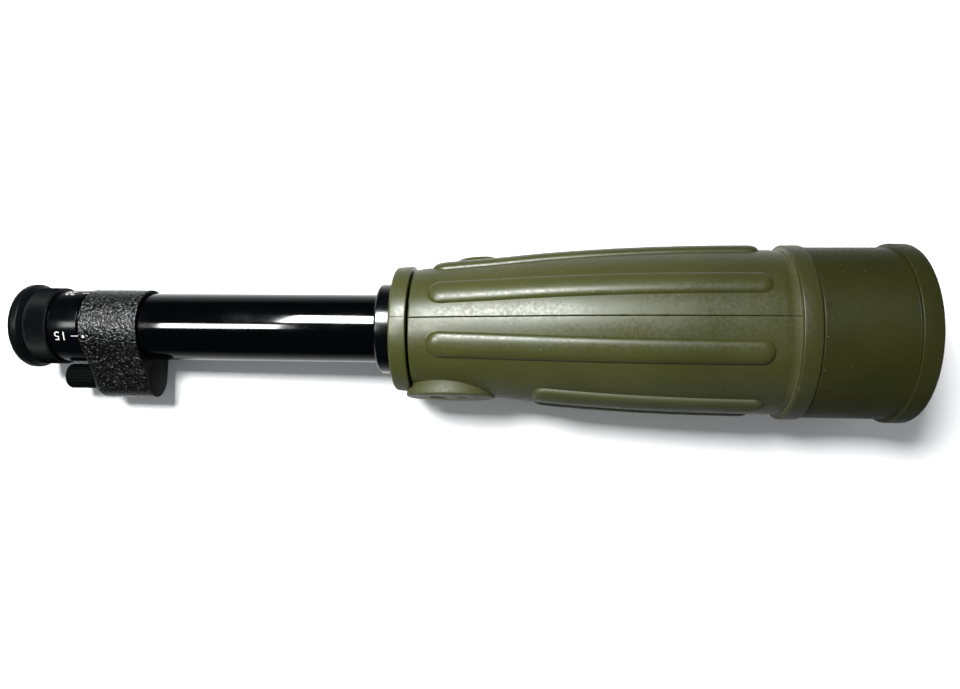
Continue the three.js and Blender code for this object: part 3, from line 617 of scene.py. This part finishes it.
turned("mouth_cell", [(188, 28.5, 0), (195.8, 28.5, 0), (195.8, 31.3, 0), (212, 31.3, 0.1), (212, 32.7, 0.1),
    (188, 32.7, 0)], "matt_black_metal", BODY, ["objective_cell"])
turned("mouth_retainer", [(207.4, 29, 0.1), (207.4, 31, 0), (209.8, 31, 0.1), (209.8, 29, 0.3)],
    "matt_black_metal", BODY, ["objective_retaining_ring"])
turned("mouth_dress_ring", [(212.3, 29.4, 0.1), (212.3, 32.7, 0), (214, 32.7, 0.2), (214, 30.2, 0.3),
    (213.2, 29.4, 0.2)], "matt_black_metal", BODY, ["objective_dress_ring"])
turned("sunshade_stop", [(215.5, 34.3, 0), (215.5, 36, 0.2), (217.1, 36, 0.2), (217.1, 34.3, 0)],
    "steel", BODY, ["sunshade_stop_ring"])


def lens_outline(rear, front, rear_curve, front_curve, radius, steps=12):
    radii = np.linspace(0, radius, steps + 1)

    def sag(curve):
        return math.copysign(1, curve) * (abs(curve) - np.sqrt(curve**2 - radii**2))

    back = [(x, r, 0) for x, r in zip(rear + sag(rear_curve), radii)]
    face = [(x, r, 0) for x, r in zip(front - sag(front_curve), radii)]
    return back + face[::-1]


def edge_sag(curve, radius):
    return curve - math.sqrt(curve**2 - radius**2)


inner_vertex = 204.1 - edge_sag(110, 31)
turned("objective_crown", lens_outline(inner_vertex, 206.6 + edge_sag(150, 31), 110, 150, 31), "coated_glass",
    BODY, ["objective_front_lens"], sharp=20)
turned("objective_flint", lens_outline(196 - edge_sag(600, 31), 203.1 - edge_sag(110, 31), 600, -110, 31),
    "coated_glass", BODY, ["objective_rear_lens"], sharp=20)

def thread_insert():
    """A steel insert with the ridges of a quarter-inch thread in its bore."""
    pitch, low, high = 1.27, -32.4, -27.6
    count = 48
    inner = []
    z, deep = low, True
    while z < high - 0.3:
        inner.append((3.45 if deep else 2.95, z))
        z, deep = z + pitch / 2, not deep
    ring = [*inner, (3.2, high), (4.75, high), (4.75, low)]
    turns = np.arange(count) * 2 * math.pi / count
    verts = [(r * math.cos(a), r * math.sin(a), z) for r, z in ring for a in turns]
    faces = grid_faces(len(ring), count, True, True)
    return piece("thread_insert", verts, faces, "steel", BODY, ["tripod_thread_insert"])


thread_insert()

# ---- Sunshade -------------------------------------------------------------------------------------------

hood = turned("sunshade_sleeve", [(174.2, 37.8, 0), (174.2, 41.4, 0.6), (214.8, 41.4, 0.3), (214.8, 43.2, 0.5),
    (224.5, 43.2, 2.6), (224.5, 36.4, 0.5), (223.8, 36.4, 0), (223.8, 37.8, 0)], "olive_rubber", "sunshade",
    ["sunshade_rubber_sleeve"], segments=200)
hood.data.materials[0] = olive_rubber("olive_rubber_hood_painted_shade", 0.6, 1.22)  # darker than the armour as painted shade, and with a duller gloss

shade = [(174.2, 35.3, 0.2), (176.2, 35.3, 0), (176.2, 36.4, 0), (182.2, 36.4, 0), (182.2, 35.3, 0),
    (184.2, 35.3, 0.2)]
for step in range(14):  # fine anti-glare grooves
    x = 186 + 2.6 * step
    shade += [(x, 36.2, 0), (x + 0.9, 36.45, 0)]
shade += [(223.5, 36.2, 0), (223.5, 37.6, 0), (174.2, 37.6, 0)]
turned("sunshade_inner", shade, "matt_black_metal", "sunshade", ["sunshade_tube"])
turned("sunshade_felt", [(176.4, 35.15, 0.3), (176.4, 36.25, 0), (182, 36.25, 0), (182, 35.15, 0.3)],
    "black_felt", "sunshade", ["sunshade_felt_ring"])

# ---- Focus bracket, its cap and the knob ----------------------------------------------------------------


def bracket_reach(shrink, directions):
    """Distance from the tube's axis to the bracket's outline, in each direction from straight down."""
    big, small = 18.95 - shrink, 10.7 - shrink
    tangent = math.acos((big - small) / POD_OFFSET)
    arc = np.linspace(tangent, 2 * math.pi - tangent, 200)
    tip = np.linspace(-tangent, tangent, 120)
    y = np.concatenate([big * np.sin(arc), small * np.sin(tip)])
    z = np.concatenate([-big * np.cos(arc), -POD_OFFSET - small * np.cos(tip)])
    share = np.linspace(0, 1, 60)[1:-1]
    side_y = (big + (small - big) * share) * math.sin(tangent)
    side_z = -big * math.cos(tangent) - share * (POD_OFFSET - (big - small) * math.cos(tangent))
    y, z = np.concatenate([y, side_y, -side_y]), np.concatenate([z, side_z, side_z])
    angle = np.arctan2(y, -z)
    order = np.argsort(angle)
    angle, reach = angle[order], np.hypot(y, z)[order]
    angle = np.concatenate([angle - 2 * math.pi, angle, angle + 2 * math.pi])
    return np.interp(directions, angle, np.tile(reach, 3))


def bracket():
    count, rear, front, bore = 360, -180.8, -150.4, 17.4
    down = np.linspace(-math.pi, math.pi, count, endpoint=False)
    down = down - 0.35 * np.sin(down)  # closer together round the pod
    web = smooth_step(0.35, 0.9, np.cos(down))
    round_rear, round_front = 0.9 + 3.2 * web, 0.3 + 0 * web
    rows = []

    def row(x, reach):
        rows.append(np.stack([x + 0 * reach, reach * np.sin(down), -reach * np.cos(down)], -1))

    def edge(end, rounding, turns, sign):
        for turn in turns:
            shrink = rounding * (1 - math.sin(turn))
            reach = np.array([bracket_reach(s, d) for s, d in zip(shrink, down)])
            row(end + sign * rounding * (1 - math.cos(turn)), reach)

    full = bracket_reach(0, down)
    inner = np.array([bracket_reach(s, d) for s, d in zip(round_rear, down)])
    for share in np.linspace(0, 1, 22)[:-1]:
        row(rear + 0 * down, bore + (inner - bore) * share)
    edge(rear, round_rear, np.linspace(0, math.pi / 2, 9), 1)
    for share in np.linspace(0, 1, 56)[1:-1]:
        start, end = rear + round_rear, front - round_front
        row(start + (end - start) * share, full)
    edge(front, round_front, np.linspace(math.pi / 2, 0, 9), -1)
    inner = np.array([bracket_reach(s, d) for s, d in zip(round_front, down)])
    for share in np.linspace(1, 0, 22)[1:]:
        row(front + 0 * down, bore + (inner - bore) * share)
    verts = np.array(rows)
    step_along = np.roll(verts, -1, 0) - np.roll(verts, 1, 0)
    step_round = np.roll(verts, -1, 1) - np.roll(verts, 1, 1)
    normal = np.cross(step_along, step_round)
    normal /= np.maximum(np.linalg.norm(normal, axis=2, keepdims=True), 1e-9)
    reach = np.hypot(verts[..., 1], verts[..., 2])
    outward = np.sign((normal * (verts - (-165.6, 0, 0) - (0, 0, 0))).sum(2, keepdims=True))
    flat = verts.reshape(-1, 3)
    folds = []
    for point in flat:
        cell = noise.voronoi(Vector(point) * 1.15)[0]
        folds.append(0.5 - min(1.0, cell[0] * 1.4))
    folds = np.array(folds).reshape(reach.shape)
    quiet = (reach < bore + 0.3) | (verts[..., 0] > front - 0.35)
    verts = verts + normal * outward * np.where(quiet, 0, 0.08 * folds - 0.03)[..., None]
    faces = grid_faces(len(rows), count, True, True)
    made = piece("focus_bracket_shell", turn_bracket(verts.reshape(-1, 3)), faces, "wrinkle_black", BODY,
        ["focus_bracket"], sharp=50)
    made.data.materials.append(MATERIALS["matt_black_metal"])  # the machined front face and bore
    for face in made.data.polygons:
        x, y, z = face.center
        if face.normal.x > 0.9 or math.hypot(y, z) < (bore + 0.2) * MM:
            face.material_index = 1
    return made


bracket()
turned("pod_cap", [(-151.4, 0, 0), (-151.4, 8.6, 0), (-150.25, 8.6, 0.2), (-150.25, 0, 0)], "matt_black_metal",
    BODY, ["pod_end_cap"], segments=96, place=pod_place)


def flutes(x, r, angle):
    depth = 0.22 * smooth_step(-197.4, -194.9, x) * (1 - smooth_step(-183.6, -182.2, x))
    wave = np.abs(np.sin(angle * 12)) ** 4
    return np.where(r > 5.4, r - depth * wave, r)


def knob_outline():
    outline = [(-198, 0, 0), (-198, 6.4, 2.4)]
    outline += [(x, 6.4, 0) for x in np.linspace(-195.2, -183, 12)]
    outline += [(-181.4, 6.4, 0.3), (-181.4, 2.6, 0), (-182, 0, 0)]
    return outline


turned("focus_knob_shell", knob_outline(), "matt_black_metal", "focus_knob", ["focus_knob"], segments=288,
    shape=flutes, place=pod_place)

# ---- Zoom ring and eyepiece -----------------------------------------------------------------------------

ZOOM = "zoom_ring"
scale_ring = turned("scale_ring", [(-212, 16.55, 0), (-212, 18.4, 0.2), (-196.5, 18.4, 0.05),
    (-196.35, 18.15, 0.05), (-195.9, 18.15, 0.05), (-195.75, 18.4, 0.05), (-181.4, 18.4, 0.4),
    (-181.4, 16.55, 0.1)],
    "satin_black_anodised", ZOOM, ["zoom_scale_ring"])
scale_ring.data.materials[0] = satin_black("satin_black_ring", 1.2)


def knurl(x, r, angle):
    wave = 0.5 - 0.5 * np.cos(angle * 144)
    ends = smooth_step(-208.9, -208.2, x) * (1 - smooth_step(-197.6, -196.9, x))
    return np.where(r > 19.2, r - 0.34 * wave * ends, r)


grip = [(-209, 18.5, 0), (-209, 19.7, 0.3)]
grip += [(x, 19.8, 0) for x in np.linspace(-208.3, -197.5, 9)]
grip += [(-196.8, 19.7, 0.3), (-196.8, 18.5, 0)]
turned("grip_band", grip, "black_rubber", ZOOM, ["zoom_grip_ring"], segments=864, shape=knurl, sharp=60)
turned("eyecup_rim", [(-216.2, 14, 0.7), (-216.2, 20.4, 1.6), (-213.8, 21.6, 1.2), (-210.9, 21.6, 1.0),
    (-209.6, 20.1, 0.5), (-209.2, 19.7, 0.2), (-209.2, 18.5, 0), (-212.2, 18.5, 0), (-212.2, 14, 0.4)],
    "black_rubber", ZOOM, ["eyecup"])
turned("ocular_barrel", [(-212, 13, 0.2), (-203.4, 13, 0), (-203.4, 10.8, 0.2), (-182.2, 10.8, 0),
    (-182.2, 11.5, 0), (-172, 11.5, 0), (-172, 12.6, 0.2), (-195, 12.6, 0), (-195, 16.45, 0.2),
    (-212, 16.45, 0)],
    "matt_black_metal", ZOOM, ["eyepiece_barrel"])
turned("ocular_ring", [(-211.8, 11.2, 0.5), (-211.8, 12.8, 0.1), (-209.9, 12.8, 0), (-209.9, 11, 0.1)],
    "matt_black_metal", ZOOM, ["eye_lens_retaining_ring"])
turned("ocular_lens", lens_outline(-209.6, -203.2, 60, 26, 12.8), "coated_glass", ZOOM, ["eye_lens"], sharp=20)

# ---- White markings -------------------------------------------------------------------------------------

SCALE = (("15", 0), ("20", 82), ("25", 128), ("30", 165), ("40", 215), ("50", 255), ("60", 288))
INDEX = 26.5  # the index sits this many degrees below the seam on the -Y side


def wrapped(name, points, faces, radius, body, thickness=0.03):
    """A thin marking on a cylinder. Points are (x, distance round it, upwards from the seam on the -Y side)."""
    count = len(points)
    verts = []
    for r in (radius, radius + thickness):
        for x, round_it in points:
            angle = round_it / radius
            verts.append((x, -r * math.cos(angle), r * math.sin(angle)))
    solid = [tuple(reversed(f)) for f in faces] + [tuple(i + count for i in f) for f in faces]
    uses = {}
    for f in faces:
        for a, b in zip(f, f[1:] + f[:1]):
            uses[(a, b)] = uses.get((a, b), 0) + 1
    for a, b in uses:
        if (b, a) not in uses:
            solid.append((a, b, b + count, a + count))
    made = piece(name, verts, solid, "satin_black_anodised", body)
    made.data.materials.clear()
    made.data.materials.append(WHITE)
    return made


def numeral(text, angle):
    curve = bpy.data.curves.new("numeral", "FONT")
    curve.body, curve.size, curve.resolution_u = text, 1.0, 6
    curve.offset = -0.008
    source = bpy.data.objects.new("numeral", curve)
    bpy.context.scene.collection.objects.link(source)
    bpy.context.view_layer.update()
    mesh = bpy.data.meshes.new_from_object(source.evaluated_get(bpy.context.evaluated_depsgraph_get()))
    bm = bmesh.new()
    bm.from_mesh(mesh)
    bmesh.ops.remove_doubles(bm, verts=bm.verts, dist=1e-4)
    low, high = min(v.co.y for v in bm.verts), max(v.co.y for v in bm.verts)
    for level in np.linspace(low, high, 14)[1:-1]:  # so that a tall stroke can bend round the ring
        parts = [*bm.verts, *bm.edges, *bm.faces]
        bmesh.ops.bisect_plane(bm, geom=parts, plane_co=(0, level, 0), plane_no=(0, 1, 0))
    bmesh.ops.triangulate(bm, faces=bm.faces)
    bm.verts.index_update()
    flat = [(v.co.x, v.co.y) for v in bm.verts]
    faces = [tuple(v.index for v in f.verts) for f in bm.faces]
    bm.free()
    bpy.data.objects.remove(source)
    low, high = np.min(flat, 0), np.max(flat, 0)
    size = 4.4 / (high[1] - low[1])
    wide = 5.1 / (high[0] - low[0])
    centre = math.radians(angle - INDEX) * 18.41
    points = []
    for u, v in flat:
        along = -187.9 - (u - low[0]) * wide
        points.append((along, centre - (v - (low[1] + high[1]) / 2) * size))
    return wrapped("numeral_" + text, points, faces, 18.41, ZOOM)


def tick(name, angle, length=4.0, width=0.42):
    centre = math.radians(angle - INDEX) * 18.41
    steps = 4
    points, faces = [], []
    for i in range(steps + 1):
        across = centre + width * (i / steps - 0.5)
        points += [(-185.3 + 0.9, across), (-185.3 + 0.9 + length * 0.9, across)]
    for i in range(steps):
        faces.append((2 * i, 2 * i + 1, 2 * i + 3, 2 * i + 2))
    return wrapped(name, points, faces, 18.41, ZOOM)


for text, angle in SCALE:
    numeral(text, angle)
    tick("tick_" + text, angle)


def index_dot():
    count, radius, surface = 32, 0.72, 19.1
    centre = -math.radians(INDEX) * surface
    turns = np.arange(count) * 2 * math.pi / count
    points = [(-177.6, centre)]
    points += [(-177.6 + radius * math.cos(a), centre + radius * math.sin(a)) for a in turns]
    faces = [(0, 1 + i, 1 + (i + 1) % count) for i in range(count)]
    return wrapped("index_dot", points, faces, surface, BODY, 0.06)


index_dot()

# ---- Floor, lights and camera ---------------------------------------------------------------------------

# The scope lies on its +Y side. These are the directions of the camera's view of it.
ROLL = math.radians(9.5)
AXIS = Vector((1, 0, 0))
DOWN = Vector((0, math.sin(ROLL), -math.cos(ROLL)))
TOWARDS = Vector((0, -math.cos(ROLL), -math.sin(ROLL)))


def view_frame(rise, swing):
    """Right, up and back directions of a camera that sees the axis rise towards it and swing down."""
    a, b = math.radians(rise), math.radians(swing)
    along = Vector((math.cos(a) * math.cos(b), math.sin(b) * math.cos(a), math.sin(a)))
    down = Vector((-math.sin(b), math.cos(b), 0))
    out = Vector((-math.sin(a) * math.cos(b), -math.sin(a) * math.sin(b), math.cos(a)))
    rows = [along[i] * AXIS + down[i] * DOWN + out[i] * TOWARDS for i in range(3)]
    return rows[0], -rows[1], rows[2]


RIGHT, UP, BACK = view_frame(4.378, 0.614)
MIDDLE = Vector((20 + THREAD_X, 0, 0)) * MM


def at(right, up, back):
    return MIDDLE + RIGHT * right + UP * up + BACK * back


def look(obj, back, up):
    side = up.cross(back).normalized()
    top = back.cross(side).normalized()
    obj.matrix_world = Matrix.Translation(obj.location) @ Matrix((side, top, back)).transposed().to_4x4()


camera_data = bpy.data.cameras.new("camera")
camera_data.lens, camera_data.sensor_width = 29.25, 36
camera_data.clip_start, camera_data.clip_end = 0.01, 50
camera = bpy.data.objects.new("camera", camera_data)
bpy.context.scene.collection.objects.link(camera)
camera.location = at(0, -7.448 * MM, 393 * MM)
look(camera, BACK, UP)
bpy.context.scene.camera = camera


def area_light(name, place, size, power, color=(1, 1, 1), diffuse=True, glossy=True):
    data = bpy.data.lights.new(name, "AREA")
    data.shape, data.size, data.size_y = "RECTANGLE", *size
    data.energy, data.color = power, color
    light = bpy.data.objects.new(name, data)
    bpy.context.scene.collection.objects.link(light)
    light.location = place
    look(light, (place - MIDDLE).normalized(), UP)
    light.visible_diffuse, light.visible_glossy = diffuse, glossy
    return light


area_light("key", at(-0.3, 0.29, 0.85), (0.25, 0.21), 17, glossy=False)
area_light("window", at(-0.34, 0.56, 1.0), (0.36, 0.5), 31, (0.97, 0.99, 1.0), diffuse=False)
area_light("below", at(0.3, 0.35, -1.0), (0.9, 0.6), 14, glossy=False)
area_light("below_gloss", at(0.1, 0.1, -1.3), (0.7, 0.5), 5, diffuse=False)
area_light("lamp", at(-0.7, 0.06, 1.0), (0.36, 0.27), 12, diffuse=False)


def resting_plane():
    """Normal and height of the plane that the scope lies on, touching it both behind and under its armour."""
    points = []
    for obj in bpy.context.scene.objects:
        if obj.type == "MESH":
            place = np.empty(len(obj.data.vertices) * 3)
            obj.data.vertices.foreach_get("co", place)
            turn = np.array(obj.matrix_world)
            points.append(place.reshape(-1, 3) @ turn[:3, :3].T + turn[:3, 3])
    points = np.concatenate(points)
    along, out = points @ np.array(AXIS), points @ np.array(TOWARDS)
    behind = along < -0.03
    low, high = 0.0, math.radians(6)
    for _ in range(30):
        tilt = (low + high) / 2
        height = out * math.cos(tilt) + along * math.sin(tilt)
        low, high = (tilt, high) if height[behind].min() > height[~behind].min() else (low, tilt)
    return (AXIS * math.sin(tilt) + TOWARDS * math.cos(tilt)).normalized(), float(height.min())


floor_normal, floor_height = resting_plane()
floor_point = MIDDLE + floor_normal * (floor_height - MIDDLE.dot(floor_normal))
floor_mesh = bpy.data.meshes.new("floor")
FLOOR_REACH = 2.5
floor_side = UP.cross(floor_normal).normalized()
floor_up = floor_normal.cross(floor_side).normalized()
floor_side, floor_up = floor_side * FLOOR_REACH, floor_up * FLOOR_REACH
corners = [floor_point + floor_side * a + floor_up * b for a, b in ((-1, -1), (1, -1), (1, 1), (-1, 1))]
floor_mesh.from_pydata([tuple(c) for c in corners], [], [(0, 1, 2, 3)])
floor = bpy.data.objects.new("floor", floor_mesh)
bpy.context.scene.collection.objects.link(floor)


TABLE_WHITE = (0.86, 0.865, 0.87)
TABLE_PAINTED_SHADE = (0.01, 0.01, 0.01)
TABLE_FADE = 1.7


def floor_finish():
    """A plain white table top that lets light and sight through from below, for views of the far side.
    Glossy rays see it painted darker the more slanting they meet it, so polished black parts mirror only the
    table close to them: a painted shade."""
    made, tree, bsdf, _ = material("table_top")
    geometry = node(tree, "ShaderNodeNewGeometry")
    directions = {0: geometry.outputs["Incoming"], 1: geometry.outputs["Normal"]}
    facing = node(tree, "ShaderNodeVectorMath", directions, operation="DOT_PRODUCT").outputs["Value"]
    near = math_node(tree, "POWER", math_node(tree, "ABSOLUTE", facing), TABLE_FADE)
    paths = node(tree, "ShaderNodeLightPath")
    # painted shade: darker where glossy rays meet the table at a slant
    mirrored = blend(tree, near, TABLE_PAINTED_SHADE, TABLE_WHITE)
    color = blend(tree, paths.outputs["Is Glossy Ray"], TABLE_WHITE, mirrored)
    tree.links.new(color, bsdf.inputs["Base Color"])
    bsdf.inputs["Roughness"].default_value = 0.7
    bsdf.inputs["Specular IOR Level"].default_value = 0.0
    clear = node(tree, "ShaderNodeBsdfTransparent")
    open_to = math_node(tree, "MAXIMUM", geometry.outputs["Backfacing"], paths.outputs["Is Shadow Ray"])
    mix = node(tree, "ShaderNodeMixShader", {0: open_to})
    tree.links.new(bsdf.outputs[0], mix.inputs[1])
    tree.links.new(clear.outputs[0], mix.inputs[2])
    tree.links.new(mix.outputs[0], tree.nodes["Material Output"].inputs["Surface"])
    return made


floor_mesh.materials.append(floor_finish())


DAYLIGHT = (0.95, 0.98, 1.0)
DIM_ROOM = (0.035, 0.037, 0.039)
AMBIENT = 0.36


def studio_world():
    """Even white surroundings that mirror-like surfaces see as a dim room."""
    world = bpy.data.worlds.new("studio")
    world.use_nodes = True
    tree = world.node_tree
    background = tree.nodes["Background"]
    paths = node(tree, "ShaderNodeLightPath")
    color = blend(tree, paths.outputs["Is Glossy Ray"], DAYLIGHT, DIM_ROOM)
    tree.links.new(color, background.inputs["Color"])
    strength = ranged(tree, paths.outputs["Is Camera Ray"], 0, 1, AMBIENT, 1.0)
    tree.links.new(strength, background.inputs["Strength"])
    bpy.context.scene.world = world


studio_world()
bpy.context.scene.view_settings.view_transform = "Standard"
bpy.context.scene.view_settings.look = "None"
